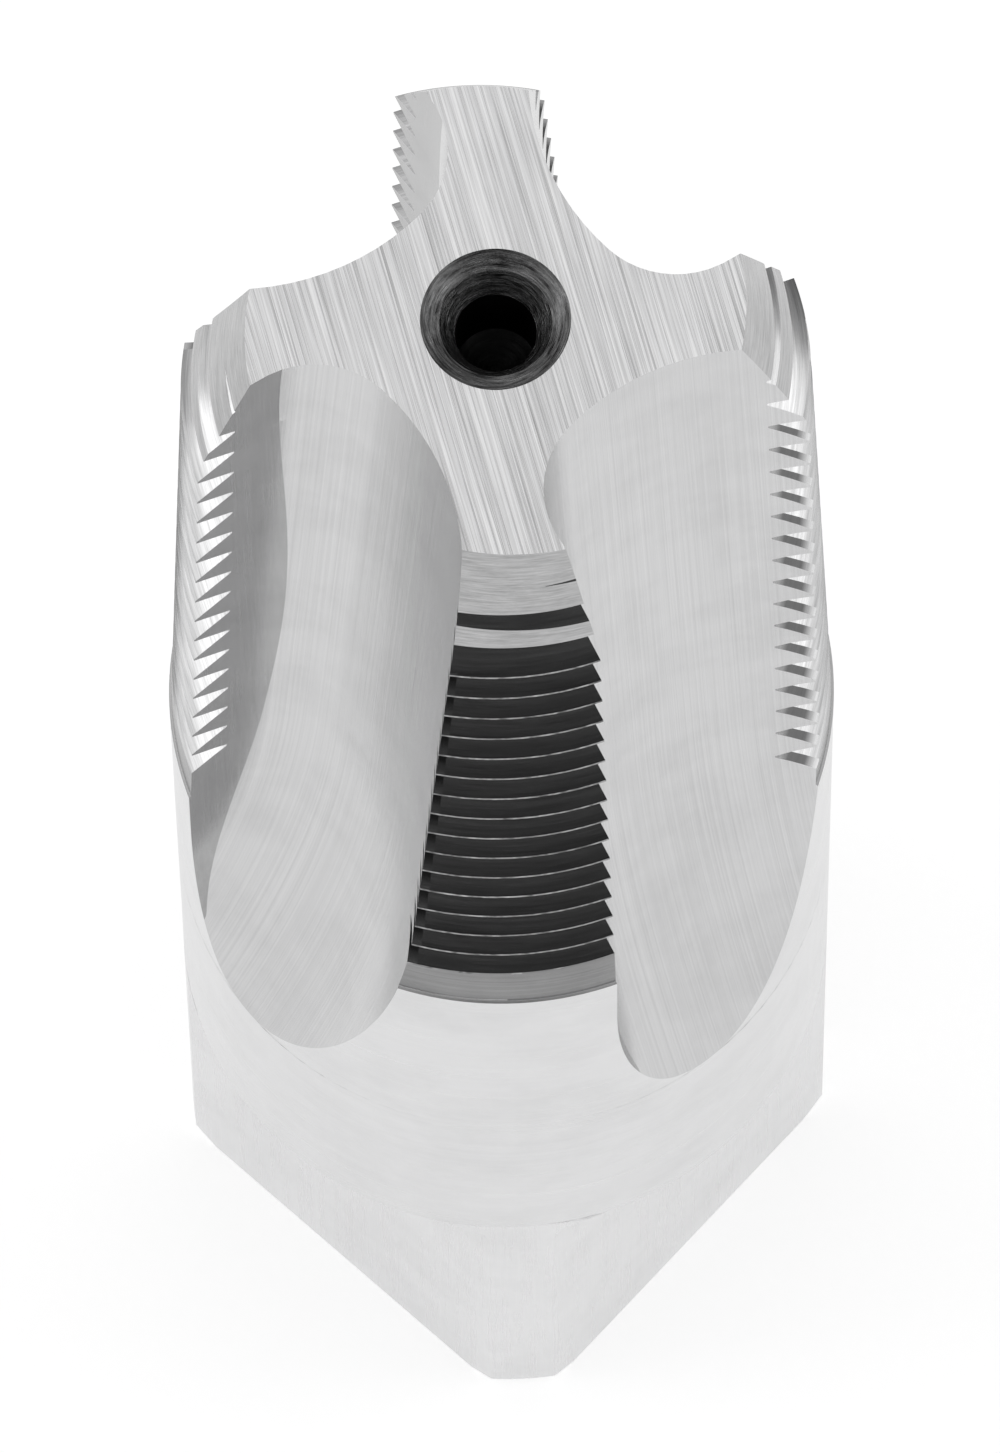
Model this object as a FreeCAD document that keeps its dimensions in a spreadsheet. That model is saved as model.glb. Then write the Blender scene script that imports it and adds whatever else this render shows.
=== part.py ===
import FreeCAD, Part
import math
import os

import Sketcher
from FreeCAD import Placement, Rotation, Vector

# A taper pipe tap ground from one bar. It stands on its square drive end: the origin is the middle of that
# end, +Z runs up the axis to the chamfered cutting end, and the flats of the square face X and Y.

# driving sizes, in millimetres and degrees
SIZES = {
    "overall_length": 60.5,
    "shank_diameter": 17.8,
    "end_bevel": 0.45,
    # square drive
    "square_across_flats": 13.8,
    "square_length": 14.0,
    "shoulder_radius": 1.2,
    "flat_count": 4,
    # taper thread, measured at the front face unless the name says otherwise
    "thread_length": 27.6,
    "thread_front_diameter": 15.94,
    "thread_taper": 0.0625,
    "thread_pitch": 1.4111,
    "thread_crest_flat": 0.097,
    "thread_root_flat": 0.09,
    "thread_flank_angle": 30,
    "thread_turns": 17.75,
    "thread_rear_turns": 10,
    "thread_join_gap": 0.02,
    "plain_crest_length": 1.45,
    # ground chamfer, which falls away behind each cutting edge
    "chamfer_face_diameter": 12.85,
    "chamfer_angle": 22,
    "chamfer_relief_offset": 0.42,
    "chamfer_relief_sweep": 60,
    # flutes
    "flute_count": 4,
    "flute_direction": -16.2,
    "flute_to_land_angle": 27.4,
    "core_diameter": 6.84,
    "core_taper_angle": 4.06,
    "cutting_face_offset": 1.75,
    "flute_root_radius": 2.5,
    "flute_heel_radius": 6.66,
    "flute_heel_lean": 10.3,
    "flute_straight_length": 23.5,
    "flute_wheel_radius": 41,
    "flute_wheel_sweep": 45,
    # centre holes, one in each end
    "centre_bevel_diameter": 3.86,
    "centre_bevel_angle": 60,
    "centre_seat_diameter": 2.9,
    "centre_seat_angle": 30,
    "pilot_diameter": 2.1,
    "pilot_depth": 3.4,
    "pilot_tip_angle": 59,
    # how far a cutting outline runs past the bar
    "clearance": 1.5,
}

ORIGIN = (-1, 1)
START, END, CENTRE = 1, 2, 3


def make_sheet(doc):
    sheet = doc.addObject("Spreadsheet::Sheet", "sizes")
    for row, (name, number) in enumerate(SIZES.items(), start=1):
        sheet.set(f"A{row}", name)
        sheet.set(f"B{row}", str(number))
        sheet.setAlias(f"B{row}", name)
    return sheet


def origin_feature(body, role):
    return next(feature for feature in body.Origin.OriginFeatures if feature.Role == role)


def new_sketch(body, name, plane, placement=None):
    sketch = body.newObject("Sketcher::SketchObject", name)
    sketch.AttachmentSupport = [(origin_feature(body, plane), "")]
    sketch.MapMode = "FlatFace"
    if placement:
        sketch.AttachmentOffset = placement
    return sketch


def place_point(sketch, point, across, along):
    """Tie one point of a sketch to its two distances from the sketch's origin."""
    for kind, expression in (("DistanceX", across), ("DistanceY", along)):
        index = sketch.addConstraint(Sketcher.Constraint(kind, *ORIGIN, *point, 0.0))
        sketch.setExpression(f"Constraints[{index}]", expression)


def size_constraint(sketch, kind, *arguments, expression, start):
    index = sketch.addConstraint(Sketcher.Constraint(kind, *arguments, start))
    sketch.setExpression(f"Constraints[{index}]", expression)


def draw_polygon(sketch, corners):
    """Closed outline of straight edges. Its corners start on a circle, and their distances carry them home."""
    turn = 2 * math.pi / len(corners)
    spread = SIZES["overall_length"]
    starts = [Vector(spread * math.cos(i * turn), spread * math.sin(i * turn), 0) for i in range(len(corners))]
    for i, point in enumerate(starts):
        sketch.addGeometry(Part.LineSegment(point, starts[(i + 1) % len(starts)]), False)
    for i, (across, along) in enumerate(corners):
        sketch.addConstraint(Sketcher.Constraint("Coincident", i - 1 if i else len(corners) - 1, END, i, START))
        place_point(sketch, (i, START), across, along)


def cut_feature(body, kind, name, sketch, **settings):
    """Add a feature that takes metal away, and stop if it takes none."""
    before = body.Shape.Volume
    feature = body.newObject(kind, name)
    feature.Profile = sketch
    expressions = settings.pop("expressions", {})
    for key, setting in settings.items():
        setattr(feature, key, setting)
    for key, expression in expressions.items():
        feature.setExpression(key, expression)
    body.Document.recompute()
    if not feature.Shape.Volume < before:
        raise RuntimeError(f"{name} removes nothing")
    return feature


def pattern_round_axis(body, name, originals, count):
    before = body.Shape.Volume
    pattern = body.newObject("PartDesign::PolarPattern", name)
    pattern.Originals = originals
    pattern.Axis = (origin_feature(body, "Z_Axis"), [""])
    pattern.Angle = 360
    pattern.setExpression("Occurrences", f"sizes.{count}")
    body.Tip = pattern
    body.Document.recompute()
    if SIZES[count] > 1 and not pattern.Shape.Volume < before:
        raise RuntimeError(f"{name} removes nothing")
    return pattern


def add_blank(body):
    """Turned bar: bevelled square end, plain shank, shallow step down to the tapering thread crest."""
    sketch = new_sketch(body, "blank_profile", "XZ_Plane")
    shank = "sizes.shank_diameter / 2"
    crest = "sizes.thread_front_diameter / 2"
    draw_polygon(sketch, [
        ("0", "0"),
        (f"{shank} - sizes.end_bevel", "0"),
        (shank, "sizes.end_bevel"),
        (shank, "sizes.overall_length - sizes.thread_length"),
        (f"{crest} + sizes.thread_length * sizes.thread_taper / 2", "sizes.overall_length - sizes.thread_length"),
        (crest, "sizes.overall_length"),
        ("0", "sizes.overall_length"),
    ])
    blank = body.newObject("PartDesign::Revolution", "blank")
    blank.Profile = sketch
    blank.ReferenceAxis = (origin_feature(body, "Z_Axis"), [""])
    blank.Angle = 360
    body.Document.recompute()


def add_groove(body, name, back, turns):
    """One stretch of the 60 degree thread groove, starting that far behind the front face at angle zero."""
    sketch = new_sketch(body, f"{name}_profile", "XZ_Plane")
    middle = f"sizes.overall_length - {back}"
    crest = f"sizes.thread_front_diameter / 2 + {back} * sizes.thread_taper / 2"
    narrow = "sizes.thread_root_flat / 2"
    # the flanks run a quarter of the crest flat past the crest, so neighbouring turns never meet
    wide = "(sizes.thread_pitch / 2 - sizes.thread_crest_flat / 4)"
    over = "sizes.thread_crest_flat / 4 / tan(sizes.thread_flank_angle)"
    lip = f"{crest} + {over}"
    root = f"{lip} - ({wide} - {narrow}) / tan(sizes.thread_flank_angle)"
    rim = f"{lip} + sizes.clearance / 3"
    draw_polygon(sketch, [
        (root, f"{middle} - {narrow}"),
        (root, f"{middle} + {narrow}"),
        (lip, f"{middle} + {wide}"),
        (rim, f"{middle} + {wide}"),
        (rim, f"{middle} - {wide}"),
        (lip, f"{middle} - {wide}"),
    ])
    cut_feature(
        body, "PartDesign::SubtractiveHelix", name, sketch,
        ReferenceAxis=(origin_feature(body, "Z_Axis"), [""]),
        Mode="pitch-height-angle",
        LeftHanded=False,
        expressions={
            "Pitch": "sizes.thread_pitch",
            "Height": f"{turns} * sizes.thread_pitch",
            "Angle": "-atan(sizes.thread_taper / 2)",
        },
    )


def add_thread(body):
    """Right-hand taper thread: one 60 degree groove on a cone, from the plain crest to the ground chamfer.

    The groove starts, stops and is joined where flutes will open, so it has no blunt end on a land.
    """
    rear = "(sizes.thread_length - sizes.plain_crest_length)"
    front = f"({rear} - sizes.thread_rear_turns * sizes.thread_pitch)"
    add_groove(body, "thread_rear", rear, "(sizes.thread_rear_turns - sizes.thread_join_gap)")
    add_groove(body, "thread_front", front, "(sizes.thread_turns - sizes.thread_rear_turns)")


def flute_placement():
    """Plane square to the tilted flute bottom, where the grinding wheel starts to lift out."""
    height = SIZES["overall_length"] - SIZES["flute_straight_length"]
    turn = Rotation(Vector(0, 0, 1), SIZES["flute_direction"])
    tilt = Rotation(Vector(0, 1, 0), -SIZES["core_taper_angle"])
    return Placement(Vector(0, 0, height), turn.multiply(tilt))


def draw_flute_profile(sketch):
    """Straight cutting face, tight root arc and wide heel arc, closed outside the bar.

    The sketch's own X runs outwards in the direction that the wheel is fed.
    """
    reach = "(sizes.core_diameter / 2 + sizes.flute_heel_radius)"
    sunk = "sizes.flute_straight_length * tan(sizes.core_taper_angle)"
    heel_across = f"({reach} * cos(sizes.flute_heel_lean) + {sunk}) * cos(sizes.core_taper_angle)"
    heel_along = f"{reach} * sin(sizes.flute_heel_lean)"

    root_radius = SIZES["flute_root_radius"]
    heel_radius = SIZES["flute_heel_radius"]
    lean = math.radians(SIZES["flute_heel_lean"])
    start_reach = SIZES["core_diameter"] / 2 + heel_radius
    heel = Vector(start_reach * math.cos(lean), start_reach * math.sin(lean), 0)
    low = -SIZES["cutting_face_offset"]
    rise = heel.y - low - root_radius
    root = Vector(heel.x - math.sqrt((heel_radius - root_radius) ** 2 - rise ** 2), low + root_radius, 0)
    meeting = math.atan2(root.y - heel.y, root.x - heel.x) + 2 * math.pi
    top = heel + Vector(0, heel_radius, 0)
    corner = Vector(heel.x, low, 0)
    axis_foot = Vector(heel.x - heel_radius + SIZES["flute_wheel_radius"], 0, 0)

    def arc(centre, radius, first, last):
        return Part.ArcOfCircle(Part.Circle(centre, Vector(0, 0, 1), radius), first, last)

    # both arcs run counterclockwise, and start at their upper ends
    face, root_arc, heel_arc, closing, wheel_axis = range(5)
    sketch.addGeometry(Part.LineSegment(corner, Vector(root.x, low, 0)), False)
    sketch.addGeometry(arc(root, root_radius, meeting, 1.5 * math.pi), False)
    sketch.addGeometry(arc(heel, heel_radius, 0.5 * math.pi, meeting), False)
    sketch.addGeometry(Part.LineSegment(top, corner), False)
    sketch.addGeometry(Part.LineSegment(axis_foot, axis_foot + Vector(0, heel_radius, 0)), True)
    join = Sketcher.Constraint
    sketch.addConstraint([
        join("Horizontal", face),
        join("Vertical", closing),
        join("Coincident", closing, END, face, START),
        join("Tangent", face, END, root_arc, END),
        join("Tangent", root_arc, START, heel_arc, END),
        join("Coincident", heel_arc, START, closing, START),
        join("PointOnObject", heel_arc, CENTRE, closing),
    ])
    size_constraint(sketch, "Radius", root_arc, expression="sizes.flute_root_radius", start=root_radius)
    size_constraint(sketch, "Radius", heel_arc, expression="sizes.flute_heel_radius", start=heel_radius)
    size_constraint(sketch, "DistanceY", *ORIGIN, face, START, expression="-sizes.cutting_face_offset", start=low)
    place_point(sketch, (heel_arc, CENTRE), heel_across, heel_along)
    axis_place = f"{heel_across} - sizes.flute_heel_radius + sizes.flute_wheel_radius"
    place_point(sketch, (wheel_axis, START), axis_place, "0")
    place_point(sketch, (wheel_axis, END), axis_place, "sizes.flute_heel_radius")


def add_flutes(body):
    """Each flute is the wheel's straight pass to the front face, and the arc where it lifts out of the shank."""
    sketch = new_sketch(body, "flute_profile", "XY_Plane", flute_placement())
    draw_flute_profile(sketch)
    body.Document.recompute()
    straight = cut_feature(
        body, "PartDesign::Pocket", "flute_pass", sketch,
        Type="Length",
        Reversed=True,
        expressions={"Length": "sizes.flute_straight_length + 2 * sizes.clearance"},
    )
    run_out = cut_feature(
        body, "PartDesign::Groove", "flute_run_out", sketch,
        ReferenceAxis=(sketch, ["Axis0"]),
        Reversed=True,
        expressions={"Angle": "sizes.flute_wheel_sweep"},
    )
    pattern_round_axis(body, "flutes", [straight, run_out], "flute_count")


def relief_placement():
    """Radial plane through the middle of a land, turning about an axis set off towards the cutting edge."""
    land = math.radians(SIZES["flute_direction"] - SIZES["flute_to_land_angle"])
    offset = SIZES["chamfer_relief_offset"]
    # the XZ plane's own axes are X, Z and -Y
    base = Vector(-offset * math.sin(land), 0, -offset * math.cos(land))
    return Placement(base, Rotation(Vector(0, 1, 0), math.degrees(land)))


def add_chamfer(body):
    """Ground lead: a cone over each land, off the tap's axis, so that the land falls away behind its edge."""
    sketch = new_sketch(body, "chamfer_profile", "XZ_Plane", relief_placement())
    edge = "sizes.chamfer_face_diameter / 2"
    outside = "sizes.shank_diameter / 2 + sizes.clearance"
    above = "sizes.overall_length + sizes.clearance"
    draw_polygon(sketch, [
        (f"{edge} - sizes.clearance * tan(sizes.chamfer_angle)", above),
        (outside, f"sizes.overall_length - ({outside} - {edge}) / tan(sizes.chamfer_angle)"),
        (outside, above),
    ])
    body.Document.recompute()
    relief = cut_feature(
        body, "PartDesign::Groove", "chamfer", sketch,
        ReferenceAxis=(sketch, ["V_Axis"]),
        Midplane=True,
        expressions={"Angle": "sizes.chamfer_relief_sweep"},
    )
    pattern_round_axis(body, "chamfers", [relief], "flute_count")


def add_square(body):
    """Four milled flats, each ending in a shoulder with the cutter's corner radius."""
    sketch = new_sketch(body, "square_profile", "XZ_Plane")
    flat = SIZES["square_across_flats"] / 2
    radius = SIZES["shoulder_radius"]
    top = SIZES["square_length"]
    outside = SIZES["shank_diameter"] / 2 + SIZES["clearance"]
    below = -SIZES["clearance"]
    knee = Vector(flat, top - radius, 0)
    step = Vector(flat + radius, top, 0)
    middle = Vector(flat + radius, top - radius, 0) + Vector(-1, 1, 0).normalize() * radius
    rim = Vector(outside, top, 0)
    foot = Vector(outside, below, 0)
    base = Vector(flat, below, 0)
    wall, corner, shoulder, side, floor = range(5)
    sketch.addGeometry(Part.LineSegment(base, knee), False)
    sketch.addGeometry(Part.Arc(knee, middle, step), False)
    sketch.addGeometry(Part.LineSegment(step, rim), False)
    sketch.addGeometry(Part.LineSegment(rim, foot), False)
    sketch.addGeometry(Part.LineSegment(foot, base), False)
    join = Sketcher.Constraint
    # the arc's own start is at the shoulder, because it runs counterclockwise
    sketch.addConstraint(join("Tangent", wall, END, corner, END))
    sketch.addConstraint(join("Tangent", corner, START, shoulder, START))
    sketch.addConstraint(join("Coincident", shoulder, END, side, START))
    sketch.addConstraint(join("Coincident", side, END, floor, START))
    sketch.addConstraint(join("Coincident", floor, END, wall, START))
    sketch.addConstraint(join("Vertical", wall))
    sketch.addConstraint(join("Horizontal", shoulder))
    size_constraint(sketch, "Radius", corner, expression="sizes.shoulder_radius", start=radius)
    reach = "sizes.shank_diameter / 2 + sizes.clearance"
    place_point(sketch, (floor, END), "sizes.square_across_flats / 2", "-sizes.clearance")
    place_point(sketch, (side, START), reach, "sizes.square_length")
    place_point(sketch, (side, END), reach, "-sizes.clearance")
    flat_cut = cut_feature(
        body, "PartDesign::Pocket", "flat", sketch,
        Type="Length",
        Midplane=True,
        expressions={"Length": "2 * sizes.shank_diameter"},
    )
    pattern_round_axis(body, "square", [flat_cut], "flat_count")


def centre_hole_corners(mouth, inward):
    """Half section of a bevelled centre hole; inward is the sign of the way into the bar."""
    bevel = "sizes.centre_bevel_diameter / 2"
    seat = "sizes.centre_seat_diameter / 2"
    pilot = "sizes.pilot_diameter / 2"
    bevel_depth = f"({bevel} - {seat}) / tan(sizes.centre_bevel_angle)"
    seat_depth = f"{bevel_depth} + ({seat} - {pilot}) / tan(sizes.centre_seat_angle)"
    tip_depth = f"sizes.pilot_depth + {pilot} / tan(sizes.pilot_tip_angle)"
    return [
        ("0", mouth),
        (bevel, mouth),
        (seat, f"{mouth} {inward} ({bevel_depth})"),
        (pilot, f"{mouth} {inward} ({seat_depth})"),
        (pilot, f"{mouth} {inward} sizes.pilot_depth"),
        ("0", f"{mouth} {inward} ({tip_depth})"),
    ]


def add_centre_hole(body, name, mouth, inward):
    sketch = new_sketch(body, f"{name}_profile", "XZ_Plane")
    draw_polygon(sketch, centre_hole_corners(mouth, inward))
    cut_feature(
        body, "PartDesign::Groove", name, sketch,
        ReferenceAxis=(origin_feature(body, "Z_Axis"), [""]),
        Angle=360,
    )


def make_tap(doc):
    body = doc.addObject("PartDesign::Body", "tap")
    body.Label = "tap"
    add_blank(body)
    add_thread(body)
    add_flutes(body)
    add_chamfer(body)
    add_square(body)
    add_centre_hole(body, "front_centre", "sizes.overall_length", "-")
    add_centre_hole(body, "rear_centre", "0", "+")
    return body


def check_document(doc):
    for item in doc.Objects:
        if "Invalid" in item.State or "Error" in item.State:
            raise RuntimeError(f"{item.Name} failed: {item.State}")


def check_body(body):
    shape = body.Shape
    if shape.isNull() or not shape.isValid() or len(shape.Solids) != 1:
        raise RuntimeError(f"{body.Label} is not one valid solid")


doc = FreeCAD.newDocument("pipe_tap")
make_sheet(doc)
doc.recompute()
tap = make_tap(doc)
doc.recompute()
check_document(doc)
check_body(tap)
os.makedirs("parts", exist_ok=True)
tap.Shape.exportStep(f"parts/{tap.Label}.step")
print(f"{tap.Label}: volume {tap.Shape.Volume:.1f} mm3, {len(tap.Shape.Faces)} faces, box {tap.Shape.BoundBox}")
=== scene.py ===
import math

import bmesh
import bpy
import numpy as np
from mathutils import Matrix, Vector


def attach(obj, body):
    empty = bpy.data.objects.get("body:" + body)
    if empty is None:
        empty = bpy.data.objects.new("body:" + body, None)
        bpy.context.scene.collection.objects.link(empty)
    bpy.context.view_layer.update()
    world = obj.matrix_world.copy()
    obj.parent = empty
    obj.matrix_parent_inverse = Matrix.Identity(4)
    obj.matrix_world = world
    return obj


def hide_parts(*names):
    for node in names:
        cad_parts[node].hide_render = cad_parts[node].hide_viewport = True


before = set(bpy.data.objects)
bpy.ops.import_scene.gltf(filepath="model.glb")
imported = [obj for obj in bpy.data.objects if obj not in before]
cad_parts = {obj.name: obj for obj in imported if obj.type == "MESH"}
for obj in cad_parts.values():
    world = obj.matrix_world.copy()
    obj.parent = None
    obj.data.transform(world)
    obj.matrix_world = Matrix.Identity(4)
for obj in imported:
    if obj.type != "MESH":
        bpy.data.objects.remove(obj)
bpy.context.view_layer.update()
print("frame loaded")

mm = 0.001

tapSizes = {  # millimetres and degrees, as in the part's source
    "length": 60.5,
    "shankRadius": 8.9,
    "endBevel": 0.45,
    "squareHalf": 6.9,
    "squareTop": 14.0,
    "shoulderRadius": 1.2,
    "threadBack": 32.9,
    "frontCrest": 7.97,
    "taper": 0.03125,  # radius per length
    "pitch": 1.4111,
    "crestFlat": 0.097,
    "rootFlat": 0.09,
    "firstGroove": 34.35,  # height of the lowest groove's middle at angle 0
    "chamferRadius": 6.425,
    "chamferAngle": 22.0,
    "chamferOffset": 0.42,
    "fluteTurn": -16.2,
    "fluteToLand": 27.4,
    "core": 3.42,
    "coreTaper": 4.06,
    "faceOffset": 1.75,
    "faceReach": 3.4,  # length of the flat face that is worked out
    "rootRadius": 2.5,
    "heelRadius": 6.66,
    "heelLean": 10.3,
    "straight": 23.5,
    "wheelRadius": 41.0,
    "bevelRadius": 1.93,
    "seatRadius": 1.45,
    "pilotRadius": 1.05,
    "pilotDepth": 3.4,
    "bevelAngle": 60,  # centre hole's cones, from the axis
    "seatAngle": 30,
    "drillAngle": 59,
}
meshDetail = {
    "helixTurns": (-3, 20),  # from below the step to above the front face
    "flankShares": [0, 0.34, 0.67, 1, 1.5, 2],  # 0 root, 1 where the chamfer cuts the flank, 2 crest
    "flankSlack": 0.03,  # least height of either part of a flank
    "crestSlack": 0.01,  # how close to the crest still counts as crest
    "faceColumns": 10,
    "rootColumns": 9,
    "heelColumns": 26,
    "landColumns": 20,
    "holeSegments": 72,
    "samples": 400,  # points tried along a flute's outline
    "outlineShare": 0.999,
    "cutRounds": 3,  # rounds of each search
    "angleRounds": 2,
    "halvings": 14,
    "heelQuads": 1,
    "faceEdgeHeights": [25.0, 29.0, 34.0, 44.0, 52.0, 60.5],  # where the sharpened face ends
    "faceEdgePlaces": [5.25, 4.46, 4.38, 4.74, 4.42, 3.95],  # how far along the flute's outline
    "faceEdgeDegree": 4,
    "runOutSearch": (18, 26, 0.01),  # heights tried for the lowest point of the flutes
    "runOutRows": [-0.012, -0.009, -0.006, 0, 0.01, 0.03, 0.06, 0.1, 0.16, 0.24, 0.34, 0.46],
    "plainStep": 0.8,  # rows below that point, and the gap left under it
    "plainGap": 0.1,
    "fluteStart": 0.6,  # rows above it, up to the step
    "fluteStep": 0.2,
    "fluteGap": 0.15,
    "stepBevel": 0.07,  # at the step, and how far down its finish reaches
    "stepFinish": 0.06,
    "squareHeights": [10, 7, 4, 2, 1],  # rows below the square's shoulder
    "filletSteps": 6,
    "sideColumns": 12,
    "cornerColumns": 8,
    "tipRadius": 0.02,
    "pilotSlack": 1.02,
    "sharpAngle": 28.0,
    "sharpSeam": 8.0,  # where two finishes meet
    "levelSlack": 1e-7,  # metres, as the distances below
    "mergeDistance": 1e-7,
    "seamDistance": 1.5e-6,
    "leastEdge": 1e-8,
}
regions = [
    "thread", "crest", "heel", "chamfer", "band", "cutting",
    "flute", "front", "shank", "square", "bevel", "hole",
]

t = tapSizes  # short names, as these two are used all through
d = meshDetail
flankSlope = math.sqrt(3)  # depth per height on a 60 degree thread
fluteTilt = math.radians(t["coreTaper"])
planeHeight = t["length"] - t["straight"]
sunk = t["straight"] * math.tan(fluteTilt)
reach = t["core"] + t["heelRadius"]
lean = math.radians(t["heelLean"])
heelX = (reach * math.cos(lean) + sunk) * math.cos(fluteTilt)
heelY = reach * math.sin(lean)
rootY = t["rootRadius"] - t["faceOffset"]
rootX = heelX - math.sqrt((t["heelRadius"] - t["rootRadius"]) ** 2 - (heelY - rootY) ** 2)
meeting = math.atan2(rootY - heelY, rootX - heelX) + 2 * math.pi
axisX = heelX - t["heelRadius"] + t["wheelRadius"]
faceOuter = rootX + t["faceReach"]
faceLong = faceOuter - rootX
rootLong = t["rootRadius"] * (1.5 * math.pi - meeting)
heelLong = t["heelRadius"] * (meeting - 0.5 * math.pi)
fluteLong = faceLong + rootLong + heelLong


def fluteOutline(s):  # s runs from the cutting face's outer end round to the heel
    s = np.asarray(s, float)
    face = np.stack([faceOuter - s, np.full_like(s, -t["faceOffset"])], -1)
    turn = 1.5 * math.pi - (s - faceLong) / t["rootRadius"]
    root = np.stack([rootX + t["rootRadius"] * np.cos(turn), rootY + t["rootRadius"] * np.sin(turn)], -1)
    turn = meeting - (s - faceLong - rootLong) / t["heelRadius"]
    heel = np.stack([heelX + t["heelRadius"] * np.cos(turn), heelY + t["heelRadius"] * np.sin(turn)], -1)
    onFace = (s < faceLong)[..., None]
    onRoot = (s < faceLong + rootLong)[..., None]
    return np.where(onFace, face, np.where(onRoot, root, heel))


def flutePoint(s, z):  # place in the flute's own axes at height z
    flat = fluteOutline(s)
    across = flat[..., 0]
    start = planeHeight + across * math.sin(fluteTilt)
    up = across * math.cos(fluteTilt) - (z - start) * math.tan(fluteTilt)
    centreX = axisX * math.cos(fluteTilt)
    centreZ = planeHeight + axisX * math.sin(fluteTilt)
    out = centreX - np.sqrt(np.maximum((axisX - across) ** 2 - (z - centreZ) ** 2, 0))
    return np.where(z > start, up, out), flat[..., 1]


def chamferRadius(angle, z):
    land = t["fluteTurn"] - t["fluteToLand"]
    land = np.radians(land + 90 * np.round((angle - land) / 90))
    radius = t["chamferRadius"] + (t["length"] - z) * math.tan(math.radians(t["chamferAngle"]))
    off = np.radians(angle) - land
    along = t["chamferOffset"] * np.sin(off)
    return along + np.sqrt(np.maximum(radius ** 2 - (t["chamferOffset"] * np.cos(off)) ** 2, 0))


def threadRadius(angle, z):
    crest = t["frontCrest"] + (t["length"] - z) * t["taper"]
    s = z - t["firstGroove"] - t["pitch"] * np.mod(angle, 360) / 360
    turn = np.round(s / t["pitch"])
    half = t["pitch"] / 2 - t["crestFlat"] / 2
    deepest = (half - t["rootFlat"] / 2) * flankSlope
    depth = np.clip((half - np.abs(s - turn * t["pitch"])) * flankSlope, 0, deepest)
    return crest - np.where(turn >= 0, depth, 0)


def frontRadius(angle, z):
    return np.minimum(threadRadius(angle, z), chamferRadius(angle, z))


def shankRadius(angle, z):
    return np.full(np.broadcast(angle, z).shape, t["shankRadius"])


faceEdge = np.polyfit(d["faceEdgeHeights"], d["faceEdgePlaces"], d["faceEdgeDegree"])


def columnPlaces(height):
    edge = np.polyval(faceEdge, np.clip(height, d["faceEdgeHeights"][0], t["length"]))
    face = np.linspace(0, edge, d["faceColumns"], endpoint=False)
    root = np.linspace(edge, faceLong + rootLong, d["rootColumns"], endpoint=False)
    heel = np.linspace(faceLong + rootLong, fluteLong * d["outlineShare"], d["heelColumns"])
    return np.concatenate([face, root, heel])


def flatRow(height):
    return lambda angle: np.full(np.shape(angle), float(height))


def helixRow(turn, side, share):  # flank rows part where the chamfer cuts the flank
    edge = t["rootFlat"] / 2
    half = (t["pitch"] - t["crestFlat"]) / 2
    slack = d["flankSlack"]

    def heightAt(angle):
        groove = t["firstGroove"] + t["pitch"] * (turn + (side < 0) + np.asarray(angle) / 360)
        cut = half
        for _ in range(d["cutRounds"]):
            z = groove + side * cut
            deep = t["frontCrest"] + (t["length"] - z) * t["taper"] - chamferRadius(angle, z)
            cut = np.clip(half - deep / flankSlope, edge + slack, half - slack)
        off = edge + share * (cut - edge) if share < 1 else cut + (share - 1) * (half - cut)
        return groove + side * off

    return heightAt


def fluteRow(heightAt, turn, radiusAt):  # one row of a flute, cut off where it meets the lands
    def place(s):
        s = np.asarray(s, float)
        z = heightAt(np.full(s.shape, turn))
        for _ in range(d["angleRounds"]):
            x, y = flutePoint(s, z)
            angle = turn + np.degrees(np.arctan2(y, x))
            z = heightAt(angle)
        x, y = flutePoint(s, z)
        return x, y, z, angle

    grid = np.linspace(0, fluteLong * d["outlineShare"], d["samples"])
    x, y, z, angle = place(grid)
    gap = np.hypot(x, y) - radiusAt(angle, z)
    inside = np.nonzero(gap < 0)[0]
    if not len(inside):
        nearest = int(np.argmin(gap))
        first = last = grid[nearest]
    else:
        def cross(a, b):
            for _ in range(d["halvings"]):
                middle = (a + b) / 2
                px, py, pz, pa = place(np.array([middle]))
                if math.hypot(px[0], py[0]) < radiusAt(pa, pz)[0]:
                    b = middle
                else:
                    a = middle
            return (a + b) / 2

        low, high = inside[0], inside[-1]
        first = cross(grid[low - 1], grid[low]) if low else grid[0]
        last = cross(grid[high + 1], grid[high]) if high + 1 < len(grid) else grid[-1]
    x, y, z, angle = place(np.clip(columnPlaces(heightAt(turn)), first, last))
    if not len(inside):
        radius = radiusAt(angle, z)
        x, y = radius * np.cos(np.radians(angle - turn)), radius * np.sin(np.radians(angle - turn))
    c, s = math.cos(math.radians(turn)), math.sin(math.radians(turn))
    points = np.stack([x * c - y * s, x * s + y * c, z], -1)
    return points, angle[0], angle[-1]


def landRow(heightAt, start, stop, radiusAt):
    angle = np.linspace(start, stop, d["landColumns"] + 1)[1:-1]
    z = heightAt(angle)
    radius = radiusAt(angle, z)
    return np.stack([radius * np.cos(np.radians(angle)), radius * np.sin(np.radians(angle)), z], -1)


def ringRow(heightAt, radiusAt):
    flutes = [fluteRow(heightAt, t["fluteTurn"] + 90 * k, radiusAt) for k in range(4)]
    nextCut = fluteRow(lambda angle: heightAt(np.asarray(angle) + 360), t["fluteTurn"], radiusAt)[1] + 360
    points = []
    for k in range(4):
        stop = flutes[k + 1][1] if k < 3 else nextCut
        points += [flutes[k][0], landRow(heightAt, flutes[k][2], stop, radiusAt)]
    return np.concatenate(points)


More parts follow.
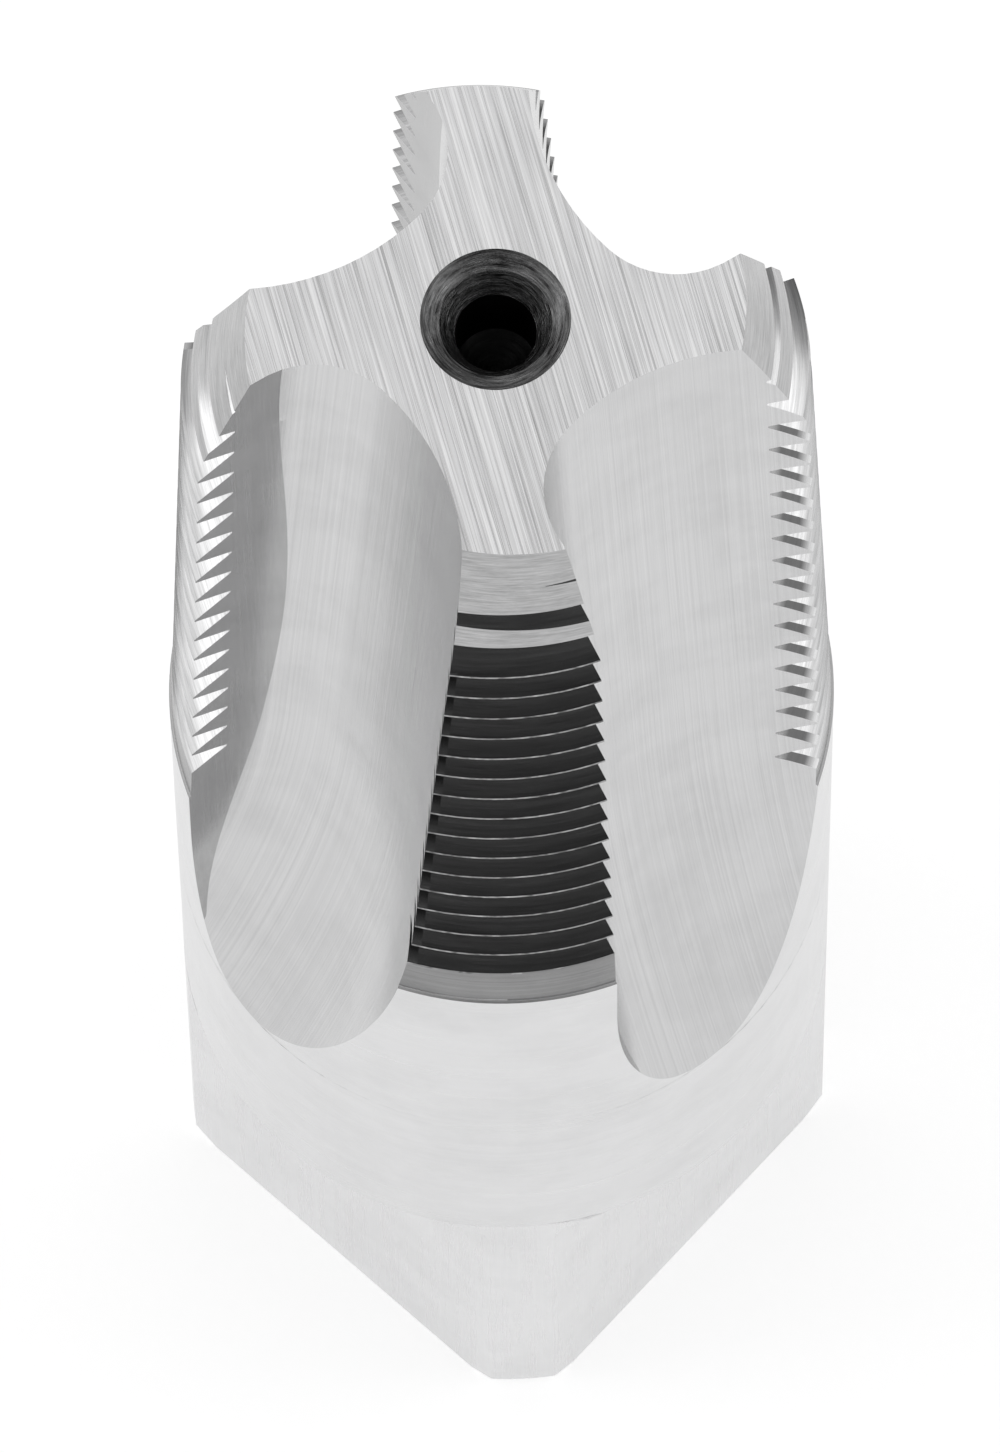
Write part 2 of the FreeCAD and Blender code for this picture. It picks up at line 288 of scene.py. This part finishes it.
def addGrid(bm, rows, shift, slotAt):  # quads; the last column meets the first one shift rows up
    count = len(rows[0])
    verts = [[bm.verts.new(Vector(p) * mm) for p in row] for row in rows]
    for i in range(len(rows) - 1):
        for j in range(count):
            k, up = (j + 1, i) if j + 1 < count else (0, i + shift)
            if up + 1 >= len(rows):
                continue
            corners = [verts[i][j], verts[up][k], verts[up + 1][k], verts[i + 1][j]]
            face = bm.faces.new(corners)
            face.material_index = slotAt(j, face.calc_center_median() / mm)


def regionAt(j, centre):
    columns = d["faceColumns"] + d["rootColumns"] + d["heelColumns"]
    perSector = columns + d["landColumns"] - 1
    place = j % perSector
    if place < columns - 1:
        return regions.index("cutting" if place < d["faceColumns"] else "flute")
    if centre.z < t["threadBack"]:
        return regions.index("chamfer" if centre.z > t["threadBack"] - d["stepFinish"] else "shank")
    angle = math.degrees(math.atan2(centre.y, centre.x))
    radius = threadRadius(angle, centre.z)
    if chamferRadius(angle, centre.z) < radius:
        return regions.index("chamfer")
    plainTop = t["firstGroove"] - t["pitch"] / 2 + t["pitch"] * (angle % 360) / 360
    if centre.z < plainTop:
        return regions.index("band")
    crest = t["frontCrest"] + (t["length"] - centre.z) * t["taper"]
    if radius > crest - d["crestSlack"]:
        return regions.index("crest")
    atHeel = place < columns - 1 + d["heelQuads"] and chamferRadius(angle, centre.z) > crest
    return regions.index("heel" if atHeel else "thread")


def squareRows():
    rows = []
    fillet = t["shoulderRadius"]
    heights = [(t["squareTop"], t["shankRadius"], t["squareHalf"] + fillet)]
    for step in range(d["filletSteps"] + 1):
        turn = math.pi / 2 * (1 - step / d["filletSteps"])
        half = t["squareHalf"] + fillet * (1 - math.cos(turn))
        heights.append((t["squareTop"] - fillet * (1 - math.sin(turn)), half, half))
    for z in d["squareHeights"] + [t["endBevel"], 0]:
        heights.append((z, t["squareHalf"], t["squareHalf"]))
    for z, half, edgeHalf in heights:
        rim = min(t["shankRadius"], t["shankRadius"] - t["endBevel"] + z)
        edge = math.degrees(math.acos(edgeHalf / rim))
        row = []
        for k in range(4):
            for angle in np.linspace(-edge, edge, d["sideColumns"] + 1)[:-1]:
                radius = min(rim, half / math.cos(math.radians(angle)))
                row.append((radius, 90 * k + angle))
            for angle in np.linspace(edge, 90 - edge, d["cornerColumns"] + 1)[:-1]:
                row.append((rim, 90 * k + angle))
        rows.append(np.array([
            (r * math.cos(math.radians(a)), r * math.sin(math.radians(a)), z) for r, a in row]))
    return rows[::-1]


def holeRows(mouth, inward):
    bevel = (t["bevelRadius"] - t["seatRadius"]) / math.tan(math.radians(t["bevelAngle"]))
    seat = bevel + (t["seatRadius"] - t["pilotRadius"]) / math.tan(math.radians(t["seatAngle"]))
    tip = t["pilotDepth"] + t["pilotRadius"] / math.tan(math.radians(t["drillAngle"]))
    outline = [(t["bevelRadius"], 0), (t["seatRadius"], bevel), (t["pilotRadius"], seat)]
    outline += [(t["pilotRadius"], t["pilotDepth"]), (d["tipRadius"], tip)]
    turns = np.linspace(0, 2 * math.pi, d["holeSegments"], endpoint=False)
    x, y = np.cos(turns), np.sin(turns)
    return [np.stack([r * x, r * y, np.full_like(turns, mouth + inward * down)], -1)
            for r, down in outline]


def holeRegion(j, centre):
    onBevel = math.hypot(centre.x, centre.y) > t["pilotRadius"] * d["pilotSlack"]
    return regions.index("bevel" if onBevel else "hole")


def atHeight(edge, height):
    return all(abs(v.co.z - height * mm) < d["levelSlack"] for v in edge.verts)


def fillEnd(bm, height, slotName):  # flat face between the outline and the centre hole's mouth
    edges = [e for e in bm.edges if e.is_boundary and atHeight(e, height)]
    made = bmesh.ops.triangle_fill(bm, edges=edges, use_beauty=True, normal=(0, 0, 1))
    for item in made["geom"]:
        if isinstance(item, bmesh.types.BMFace):
            item.material_index = regions.index(slotName)


def joinLoops(bm, below, above):  # closes the plain ring between two levels whose columns differ
    edges = [e for e in bm.edges if e.is_boundary and (atHeight(e, below) or atHeight(e, above))]
    for face in bmesh.ops.bridge_loops(bm, edges=edges)["faces"]:
        face.material_index = regions.index("shank")


def cutPlane(bm, height, outer, inner):
    geom = bm.verts[:] + bm.edges[:] + bm.faces[:]
    bmesh.ops.bisect_plane(bm, geom=geom, dist=d["leastEdge"], plane_co=(0, 0, height * mm),
                           plane_no=(0, 0, 1), clear_outer=outer, clear_inner=inner)


def buildTap():
    shares = d["flankShares"]
    onePitch = [(1, share) for share in shares] + [(-1, share) for share in reversed(shares)]
    helix = [helixRow(turn, side, share) for turn in range(*d["helixTurns"]) for side, share in onePitch]
    bm = bmesh.new()
    addGrid(bm, [ringRow(heightAt, frontRadius) for heightAt in helix], len(onePitch), regionAt)
    bmesh.ops.remove_doubles(bm, verts=bm.verts[:], dist=d["mergeDistance"])
    cutPlane(bm, t["length"], True, False)
    cutPlane(bm, t["threadBack"], False, True)
    print("thread rows", len(helix))

    lower = bmesh.new()
    places = np.linspace(0, fluteLong, d["samples"])
    low = min(z for z in np.arange(*d["runOutSearch"])
              if (np.hypot(*flutePoint(places, z)) < t["shankRadius"]).any())
    near = [low + off for off in d["runOutRows"]]
    seamTop = t["squareTop"] + d["plainStep"]
    plain = np.arange(seamTop, low - d["plainGap"], d["plainStep"])
    fluted = np.arange(low + d["fluteStart"], t["threadBack"] - d["fluteGap"], d["fluteStep"])
    heights = sorted({*plain, *near, *fluted, t["threadBack"] - d["stepBevel"]})
    rows = [ringRow(flatRow(z), shankRadius) for z in heights]
    step = ringRow(flatRow(t["threadBack"]), threadRadius)
    addGrid(lower, rows + [step], 0, regionAt)
    addGrid(lower, squareRows(), 0, lambda j, centre: regions.index("square"))
    addGrid(lower, holeRows(0, 1), 0, holeRegion)
    bmesh.ops.remove_doubles(lower, verts=lower.verts[:], dist=d["mergeDistance"])
    joinLoops(lower, t["squareTop"], seamTop)
    fillEnd(lower, 0, "square")
    lowerMesh = bpy.data.meshes.new("lowerTap")
    lower.to_mesh(lowerMesh)
    lower.free()
    print("shank rows", len(heights))

    addGrid(bm, holeRows(t["length"], -1), 0, holeRegion)
    bmesh.ops.remove_doubles(bm, verts=bm.verts[:], dist=d["mergeDistance"])
    fillEnd(bm, t["length"], "front")
    bm.from_mesh(lowerMesh)
    bpy.data.meshes.remove(lowerMesh)
    bmesh.ops.remove_doubles(bm, verts=bm.verts[:], dist=d["seamDistance"])
    bmesh.ops.dissolve_degenerate(bm, edges=bm.edges[:], dist=d["leastEdge"])
    bmesh.ops.recalc_face_normals(bm, faces=bm.faces[:])
    for face in bm.faces:
        face.smooth = True
    for edge in bm.edges:
        if len(edge.link_faces) == 2:
            seam = edge.link_faces[0].material_index != edge.link_faces[1].material_index
            limit = d["sharpSeam"] if seam else d["sharpAngle"]
            edge.smooth = edge.calc_face_angle(0) < math.radians(limit)
    mesh = bpy.data.meshes.new("tapSteel")
    bm.to_mesh(mesh)
    bm.free()
    obj = bpy.data.objects.new("tapSteel", mesh)
    bpy.context.scene.collection.objects.link(obj)
    print("tap faces", len(mesh.polygons))
    return obj


tapSteel = buildTap()


def newGroup(name, inputs, outputs):
    group = bpy.data.node_groups.new(name, "ShaderNodeTree")
    for label, kind, value in inputs:
        socket = group.interface.new_socket(label, in_out="INPUT", socket_type=kind)
        if value is not None:
            socket.default_value = value
    for label, kind in outputs:
        group.interface.new_socket(label, in_out="OUTPUT", socket_type=kind)
    return group, group.nodes.new("NodeGroupInput"), group.nodes.new("NodeGroupOutput")


def mathNode(nodes, links, operation, a, b=None):
    node = nodes.new("ShaderNodeMath")
    node.operation = operation
    for socket, value in zip(node.inputs, (a, b)):
        if isinstance(value, (int, float)):
            socket.default_value = value
        elif value is not None:
            links.new(value, socket)
    return node.outputs[0]


def axisDistance(nodes, links, x, y):
    squares = [mathNode(nodes, links, "MULTIPLY", side, side) for side in (x, y)]
    return mathNode(nodes, links, "SQRT", mathNode(nodes, links, "ADD", *squares))


steelShared = {  # what all the finishes have in common
    "marksDetail": 4.0,
    "marksRough": 0.6,
    "fineFactor": 4.3,  # how much finer the second set of marks is
    "fineSeed": 7.7,
    "coarseShare": 0.6,
    "fineShare": 0.4,
    "roundRadius": 0.008,  # metres that a radian counts for, in marks that run round
    "bumpDeep": 0.00002,
    "roughChange": 0.12,
    "stainScale": 350.0,
    "stainDetail": 5.0,
    "stainRough": 0.65,
    "stainStart": 0.42,
    "stainFull": 0.7,
    "stainTone": -0.05,
    "leastGrey": 0.01,
    "tint": (0.994, 0.994, 1.0),
}


def makeStreakGroup():  # long thin marks along the first axis of the vector, coarse and fine apart
    group, into, out = newGroup(
        "grindingMarks",
        [
            ("Vector", "NodeSocketVector", None),
            ("Length", "NodeSocketFloat", 1.0),
            ("Fineness", "NodeSocketFloat", 1.0),
        ],
        [("Coarse", "NodeSocketFloat"), ("Fine", "NodeSocketFloat")],
    )
    nodes, links = group.nodes, group.links
    split = nodes.new("ShaderNodeSeparateXYZ")
    links.new(into.outputs["Vector"], split.inputs[0])
    s = steelShared
    for label, factor, seed in (("Coarse", 1.0, 0.0), ("Fine", s["fineFactor"], s["fineSeed"])):
        join = nodes.new("ShaderNodeCombineXYZ")
        stretched = mathNode(nodes, links, "MULTIPLY", split.outputs[0], into.outputs["Length"])
        links.new(stretched, join.inputs[0])
        for axis in (1, 2):
            fine = mathNode(nodes, links, "MULTIPLY", split.outputs[axis], into.outputs["Fineness"])
            moved = mathNode(nodes, links, "ADD", mathNode(nodes, links, "MULTIPLY", fine, factor), seed)
            links.new(moved, join.inputs[axis])
        noise = nodes.new("ShaderNodeTexNoise")
        noise.inputs["Scale"].default_value = 1.0
        noise.inputs["Detail"].default_value = s["marksDetail"]
        noise.inputs["Roughness"].default_value = s["marksRough"]
        links.new(join.outputs[0], noise.inputs["Vector"])
        links.new(noise.outputs["Fac"], out.inputs[label])
    return group


def makeBlotchGroup():  # faint oil and handling stains
    s = steelShared
    group, into, out = newGroup(
        "handlingStains", [("Scale", "NodeSocketFloat", s["stainScale"])], [("Mask", "NodeSocketFloat")])
    nodes, links = group.nodes, group.links
    coords = nodes.new("ShaderNodeTexCoord")
    noise = nodes.new("ShaderNodeTexNoise")
    noise.inputs["Detail"].default_value = s["stainDetail"]
    noise.inputs["Roughness"].default_value = s["stainRough"]
    links.new(coords.outputs["Object"], noise.inputs["Vector"])
    links.new(into.outputs["Scale"], noise.inputs["Scale"])
    ramp = nodes.new("ShaderNodeValToRGB")
    ramp.color_ramp.elements[0].position = s["stainStart"]
    ramp.color_ramp.elements[1].position = s["stainFull"]
    links.new(noise.outputs["Fac"], ramp.inputs[0])
    links.new(ramp.outputs["Color"], out.inputs["Mask"])
    return group


def makeDepthGroup():  # how deep a point lies in the thread, 0 at the crest and 1 at the root
    group, into, out = newGroup("grooveDepth", [], [("Depth", "NodeSocketFloat")])
    nodes, links = group.nodes, group.links
    coords = nodes.new("ShaderNodeTexCoord")
    split = nodes.new("ShaderNodeSeparateXYZ")
    links.new(coords.outputs["Object"], split.inputs[0])
    x, y, z = split.outputs
    slope = mathNode(nodes, links, "MULTIPLY", z, -t["taper"])
    crest = mathNode(nodes, links, "ADD", slope, (t["frontCrest"] + t["length"] * t["taper"]) * mm)
    below = mathNode(nodes, links, "SUBTRACT", crest, axisDistance(nodes, links, x, y))
    deepest = (t["pitch"] - t["crestFlat"] - t["rootFlat"]) / 2 * flankSlope * mm
    links.new(mathNode(nodes, links, "DIVIDE", below, deepest), out.inputs["Depth"])
    return group


streakGroup = makeStreakGroup()
blotchGroup = makeBlotchGroup()
depthGroup = makeDepthGroup()
print("shader groups ready")

steelLooks = {  # base grey and roughness, marks: direction, length and fineness per metre, bump, tone
    "thread": {
        "grey": 0.62, "rough": 0.18, "bump": 0.15, "tone": 0.50,
        "marks": "round", "long": 300.0, "fine": 9000.0,
    },
    # the low grey of the crest flats is painted shade, for the dark surroundings they mirror; their burr
    # and grinding marks are real
    "crest": {
        "grey": 0.20, "rough": 0.22, "bump": 0.30, "tone": 0.90,
        "marks": "round", "long": 4000.0, "fine": 3000.0,
    },
    "heel": {
        "grey": 0.60, "rough": 0.22, "bump": 0.20, "tone": 0.25,
        "marks": "round", "long": 200.0, "fine": 9000.0,
    },
    "chamfer": {
        "grey": 0.44, "rough": 0.24, "bump": 0.30, "tone": 0.36,
        "marks": "round", "long": 40.0, "fine": 16000.0,
    },
    "band": {
        "grey": 0.20, "rough": 0.26, "bump": 0.20, "tone": 0.16,
        "marks": "round", "long": 60.0, "fine": 9000.0,
    },
    "cutting": {
        "grey": 0.365, "rough": 0.26, "bump": 0.08, "tone": 0.10,
        "marks": "axial", "long": 160.0, "fine": 9000.0,
    },
    "flute": {
        "grey": 0.58, "rough": 0.24, "bump": 0.16, "tone": 0.18,
        "marks": "along", "long": 50.0, "fine": 16000.0,
    },
    "front": {
        "grey": 0.80, "rough": 0.28, "bump": 0.70, "tone": 1.05,
        "marks": "slanted", "long": 130.0, "fine": 12000.0,
    },
    "shank": {
        "grey": 0.68, "rough": 0.26, "bump": 0.08, "tone": 0.08,
        "marks": "round", "long": 50.0, "fine": 6000.0,
    },
    "square": {
        "grey": 0.72, "rough": 0.28, "bump": 0.10, "tone": 0.08,
        "marks": "axial", "long": 150.0, "fine": 5000.0,
    },
    # the dark greys of the centre hole's cones and pilot are painted shade of the deep recess; their
    # grinding marks are real
    "bevel": {
        "grey": 0.17, "rough": 0.26, "bump": 1.0, "tone": 0.50, "deep": 0.00006,
        "marks": "round", "long": 260.0, "fine": 7000.0,
    },
    "hole": {
        "grey": 0.07, "rough": 0.30, "bump": 0.50, "tone": 0.06,
        "marks": "round", "long": 120.0, "fine": 9000.0,
    },
}
depthShades = {  # share of the grey by depth in the groove; on the thread flanks this is painted shade
    # painted shade: darkest at the crest, full grey a third of the way down, a little darker at the root
    "thread": [(0.0, 0.60), (0.38, 1.0), (1.0, 0.92)],
    "heel": [(0.04, 0.9), (0.32, 0.2), (0.72, 0.2), (1.0, 0.7)],
}
slantAngle = -32.2  # grinding lines on the front face, degrees from X
fluteMiddle = 17.6  # middle of a flute's opening, degrees from its cutting plane


def turnedCoords(nodes, links, coords, angle):
    turn = nodes.new("ShaderNodeVectorRotate")
    turn.rotation_type = "Z_AXIS"
    turn.inputs["Angle"].default_value = -math.radians(angle)
    links.new(coords.outputs["Object"], turn.inputs["Vector"])
    return turn.outputs[0]


def fluteSide(nodes, links, coords):  # distance sideways from the middle plane of the nearest flute
    near, own = nodes.new("ShaderNodeSeparateXYZ"), nodes.new("ShaderNodeSeparateXYZ")
    links.new(turnedCoords(nodes, links, coords, t["fluteTurn"] + fluteMiddle), near.inputs[0])
    links.new(turnedCoords(nodes, links, coords, t["fluteTurn"]), own.inputs[0])
    nearX, nearY = near.outputs[0], near.outputs[1]
    alongX = mathNode(nodes, links, "GREATER_THAN", mathNode(nodes, links, "ABSOLUTE", nearX),
                      mathNode(nodes, links, "ABSOLUTE", nearY))
    inX = mathNode(nodes, links, "MULTIPLY", mathNode(nodes, links, "SIGN", nearX), own.outputs[1])
    inY = mathNode(nodes, links, "MULTIPLY", mathNode(nodes, links, "SIGN", nearY), own.outputs[0])
    offX = mathNode(nodes, links, "SUBTRACT", 1.0, alongX)
    return mathNode(nodes, links, "SUBTRACT", mathNode(nodes, links, "MULTIPLY", alongX, inX),
                    mathNode(nodes, links, "MULTIPLY", offX, inY))


# grey factor by groove depth, used as painted shade on the thread flanks
def depthShade(nodes, links, stops):
    depth = nodes.new("ShaderNodeGroup")
    depth.node_tree = depthGroup
    ramp = nodes.new("ShaderNodeValToRGB")
    elements = ramp.color_ramp.elements
    elements[0].position, elements[1].position = stops[0][0], stops[-1][0]
    for place, _ in stops[1:-1]:
        elements.new(place)
    for element, (place, level) in zip(elements, stops):
        element.color = (level, level, level, 1)
    links.new(depth.outputs["Depth"], ramp.inputs[0])
    return ramp.outputs["Color"]


chamferNick = {  # a small nick by the cutting edge of one land, degrees and millimetres
    "start": -37.3,
    "stop": -30.3,
    "height": 59.32,
    "rise": 0.05,
    "thin": 0.008,
    "thick": 0.045,
    "shade": 0.12,
}


def nickShade(nodes, links):
    n = chamferNick
    coords, split = nodes.new("ShaderNodeTexCoord"), nodes.new("ShaderNodeSeparateXYZ")
    links.new(coords.outputs["Object"], split.inputs[0])
    x, y, z = split.outputs
    start, wide = math.radians(n["start"]), math.radians(n["stop"] - n["start"])
    turned = mathNode(nodes, links, "SUBTRACT", mathNode(nodes, links, "ARCTAN2", y, x), start)
    share = mathNode(nodes, links, "DIVIDE", turned, wide)
    rise = mathNode(nodes, links, "MULTIPLY", share, n["rise"] * mm)
    middle = mathNode(nodes, links, "ADD", rise, n["height"] * mm)
    off = mathNode(nodes, links, "ABSOLUTE", mathNode(nodes, links, "SUBTRACT", z, middle))
    width = mathNode(nodes, links, "MULTIPLY", share, (n["thick"] - n["thin"]) * mm)
    narrow = mathNode(nodes, links, "LESS_THAN", off, mathNode(nodes, links, "ADD", width, n["thin"] * mm))
    begun = mathNode(nodes, links, "GREATER_THAN", share, 0.0)
    inside = mathNode(nodes, links, "MULTIPLY", begun, mathNode(nodes, links, "LESS_THAN", share, 1.0))
    mask = mathNode(nodes, links, "MULTIPLY", narrow, inside)
    return mathNode(nodes, links, "SUBTRACT", 1.0, mathNode(nodes, links, "MULTIPLY", mask, 1 - n["shade"]))


def marksVector(nodes, links, kind):
    coords = nodes.new("ShaderNodeTexCoord")
    if kind == "slanted":
        return turnedCoords(nodes, links, coords, slantAngle)
    split = nodes.new("ShaderNodeSeparateXYZ")
    links.new(coords.outputs["Object"], split.inputs[0])
    join = nodes.new("ShaderNodeCombineXYZ")
    x, y, z = split.outputs
    if kind == "axial":
        order = (z, x, y)
    elif kind == "round":
        angle = mathNode(nodes, links, "ARCTAN2", y, x)
        arc = mathNode(nodes, links, "MULTIPLY", angle, steelShared["roundRadius"])
        order = (arc, z, axisDistance(nodes, links, x, y))
    else:
        order = (z, fluteSide(nodes, links, coords))
    for socket, value in zip(join.inputs, order):
        links.new(value, socket)
    return join.outputs[0]


def makeSteel(name):
    look, s = steelLooks[name], steelShared
    material = bpy.data.materials.new(name + "Steel")
    material.use_nodes = True
    nodes, links = material.node_tree.nodes, material.node_tree.links
    shader = nodes["Principled BSDF"]
    shader.inputs["Metallic"].default_value = 1.0
    marks = nodes.new("ShaderNodeGroup")
    marks.node_tree = streakGroup
    marks.inputs["Length"].default_value = look["long"]
    marks.inputs["Fineness"].default_value = look["fine"]
    links.new(marksVector(nodes, links, look["marks"]), marks.inputs["Vector"])
    stains = nodes.new("ShaderNodeGroup")
    stains.node_tree = blotchGroup
    stains.inputs["Scale"].default_value = s["stainScale"]
    coarse = mathNode(nodes, links, "MULTIPLY", marks.outputs["Coarse"], s["coarseShare"])
    fine = mathNode(nodes, links, "MULTIPLY", marks.outputs["Fine"], s["fineShare"])
    both = mathNode(nodes, links, "ADD", coarse, fine)
    spread = mathNode(nodes, links, "SUBTRACT", both, 0.5)  # the marks average a half
    tone = mathNode(nodes, links, "MULTIPLY", spread, 2 * look["tone"])
    dirt = mathNode(nodes, links, "MULTIPLY", stains.outputs["Mask"], s["stainTone"])
    grey = mathNode(nodes, links, "ADD", mathNode(nodes, links, "ADD", tone, dirt), look["grey"])
    # painted shade by groove depth on the thread flanks; a dark band just behind the heel edge on the heel
    if name in depthShades:
        grey = mathNode(nodes, links, "MULTIPLY", grey, depthShade(nodes, links, depthShades[name]))
    if name == "chamfer":
        grey = mathNode(nodes, links, "MULTIPLY", grey, nickShade(nodes, links))
    grey = mathNode(nodes, links, "MAXIMUM", grey, s["leastGrey"])
    mix = nodes.new("ShaderNodeCombineColor")
    for socket, factor in zip(mix.inputs, s["tint"]):
        links.new(mathNode(nodes, links, "MULTIPLY", grey, factor), socket)
    links.new(mix.outputs[0], shader.inputs["Base Color"])
    change = mathNode(nodes, links, "MULTIPLY", both, s["roughChange"])
    rough = mathNode(nodes, links, "ADD", change, look["rough"] - s["roughChange"] / 2)
    links.new(rough, shader.inputs["Roughness"])
    bump = nodes.new("ShaderNodeBump")
    bump.inputs["Strength"].default_value = look["bump"]
    bump.inputs["Distance"].default_value = look.get("deep", s["bumpDeep"])
    links.new(both, bump.inputs["Height"])
    links.new(bump.outputs[0], shader.inputs["Normal"])
    return material


for region in regions:
    tapSteel.data.materials.append(makeSteel(region))
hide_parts("tap")
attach(tapSteel, "root")
print("steel ready")

stageLook = {
    "floorSize": 1.2,
    "floorGrey": 0.90,
    "floorRough": 0.9,
    "worldGrey": 0.80,  # as the steel mirrors it
    "worldDiffuse": 0.55,
    "floorGlow": 0.50,
    "lampAim": 0.03,  # height that the lamps point at
}
darkCards = [  # turn and rise of the middle, inner and outer half width, share of light left
    (-47.0, 50.0, 24.0, 44.0, 0.06),
    (98.0, 18.0, 18.0, 34.0, 0.35),
]


def makeFloor():
    bpy.ops.mesh.primitive_plane_add(size=stageLook["floorSize"], location=(0, 0, 0))
    floor = bpy.context.object
    floor.name = "floor"
    material = bpy.data.materials.new("paleFloor")
    material.use_nodes = True
    nodes, links = material.node_tree.nodes, material.node_tree.links
    shader = nodes["Principled BSDF"]
    grey = stageLook["floorGrey"]
    shader.inputs["Base Color"].default_value = (grey, grey, grey, 1)
    shader.inputs["Roughness"].default_value = stageLook["floorRough"]
    shader.inputs["Specular IOR Level"].default_value = 0.0
    path = nodes.new("ShaderNodeLightPath")
    seen = mathNode(nodes, links, "MAXIMUM", path.outputs["Is Camera Ray"], path.outputs["Is Glossy Ray"])
    shader.inputs["Emission Color"].default_value = (1, 1, 1, 1)
    glow = mathNode(nodes, links, "MULTIPLY", seen, stageLook["floorGlow"])
    links.new(glow, shader.inputs["Emission Strength"])
    floor.data.materials.append(material)


def direction(turn, rise):  # degrees from X and above the floor
    turn, rise = math.radians(turn), math.radians(rise)
    return Vector((math.cos(rise) * math.cos(turn), math.cos(rise) * math.sin(turn), math.sin(rise)))


def makeWorld():
    world = bpy.data.worlds.new("studio")
    bpy.context.scene.world = world
    world.use_nodes = True
    nodes, links = world.node_tree.nodes, world.node_tree.links
    nodes.clear()
    coords = nodes.new("ShaderNodeTexCoord")
    mirrored = stageLook["worldGrey"]
    for turn, rise, inner, outer, left in darkCards:
        dot = nodes.new("ShaderNodeVectorMath")
        dot.operation = "DOT_PRODUCT"
        dot.inputs[1].default_value = direction(turn, rise)
        links.new(coords.outputs["Generated"], dot.inputs[0])
        card = nodes.new("ShaderNodeMapRange")
        card.interpolation_type = "SMOOTHSTEP"
        card.inputs["From Min"].default_value = math.cos(math.radians(outer))
        card.inputs["From Max"].default_value = math.cos(math.radians(inner))
        card.inputs["To Min"].default_value = 1.0
        card.inputs["To Max"].default_value = left
        links.new(dot.outputs["Value"], card.inputs["Value"])
        mirrored = mathNode(nodes, links, "MULTIPLY", card.outputs[0], mirrored)
    path = nodes.new("ShaderNodeLightPath")
    pick = nodes.new("ShaderNodeMix")
    pick.data_type = "FLOAT"
    pick.inputs[2].default_value = stageLook["worldDiffuse"]
    links.new(path.outputs["Is Glossy Ray"], pick.inputs[0])
    links.new(mirrored, pick.inputs[3])
    show = nodes.new("ShaderNodeMix")
    show.data_type = "FLOAT"
    links.new(path.outputs["Is Camera Ray"], show.inputs[0])
    links.new(pick.outputs[0], show.inputs[2])
    show.inputs[3].default_value = 1.0
    back = nodes.new("ShaderNodeBackground")
    back.inputs["Color"].default_value = (1, 1, 1, 1)
    links.new(show.outputs[0], back.inputs["Strength"])
    out = nodes.new("ShaderNodeOutputWorld")
    links.new(back.outputs[0], out.inputs["Surface"])


lampList = [  # name, turn and rise in degrees, distance and size in metres, watts
    ("leftPanel", -140.0, 35.0, 0.6, 0.30, 0.27),
    ("rightPanel", 50.0, 40.0, 0.6, 0.30, 0.20),
]


def makeLamps():
    for name, turn, rise, distance, size, power in lampList:
        data = bpy.data.lights.new(name, "AREA")
        data.size = size
        data.energy = power
        lamp = bpy.data.objects.new(name, data)
        away = direction(turn, rise)
        lamp.location = Vector((0, 0, stageLook["lampAim"])) + away * distance
        lamp.rotation_euler = away.to_track_quat("Z", "Y").to_euler()
        bpy.context.scene.collection.objects.link(lamp)


makeFloor()
makeWorld()
makeLamps()
print("stage ready")

cameraPlace = {  # degrees and millimetres
    "turn": 43.07,
    "rise": 70.179,
    "roll": -0.931,
    "distance": 532.27,
    "aimDown": 20.0,  # below the front face, along the axis
    "aimRight": 0.004,
    "aimUp": -3.594,
    "lensShare": 20154.4 / 1453,  # focal length as a share of the sensor
    "sensor": 36,
    "clipStart": 0.01,  # metres
    "clipEnd": 10,
}


def makeCamera():
    c = cameraPlace
    e, a, r = (math.radians(c[key]) for key in ("rise", "turn", "roll"))
    back = Vector((math.sin(a) * math.cos(e), -math.cos(a) * math.cos(e), math.sin(e)))
    up0 = Vector((-math.sin(a) * math.sin(e), math.cos(a) * math.sin(e), math.cos(e)))
    right0 = up0.cross(back)
    right = right0 * math.cos(r) + up0 * math.sin(r)
    up = up0 * math.cos(r) - right0 * math.sin(r)
    aim = Vector((0, 0, t["length"] - c["aimDown"])) + right * c["aimRight"] + up * c["aimUp"]
    data = bpy.data.cameras.new("camera")
    data.sensor_width = c["sensor"]
    data.lens = c["lensShare"] * c["sensor"]
    data.clip_start = c["clipStart"]
    data.clip_end = c["clipEnd"]
    camera = bpy.data.objects.new("camera", data)
    place = Matrix((right, up, back)).transposed().to_4x4()
    place.translation = (aim + back * c["distance"]) * mm
    camera.matrix_world = place
    bpy.context.scene.collection.objects.link(camera)
    bpy.context.scene.camera = camera


makeCamera()
bpy.context.scene.view_settings.view_transform = "Standard"
bpy.context.view_layer.update()
print("camera ready")
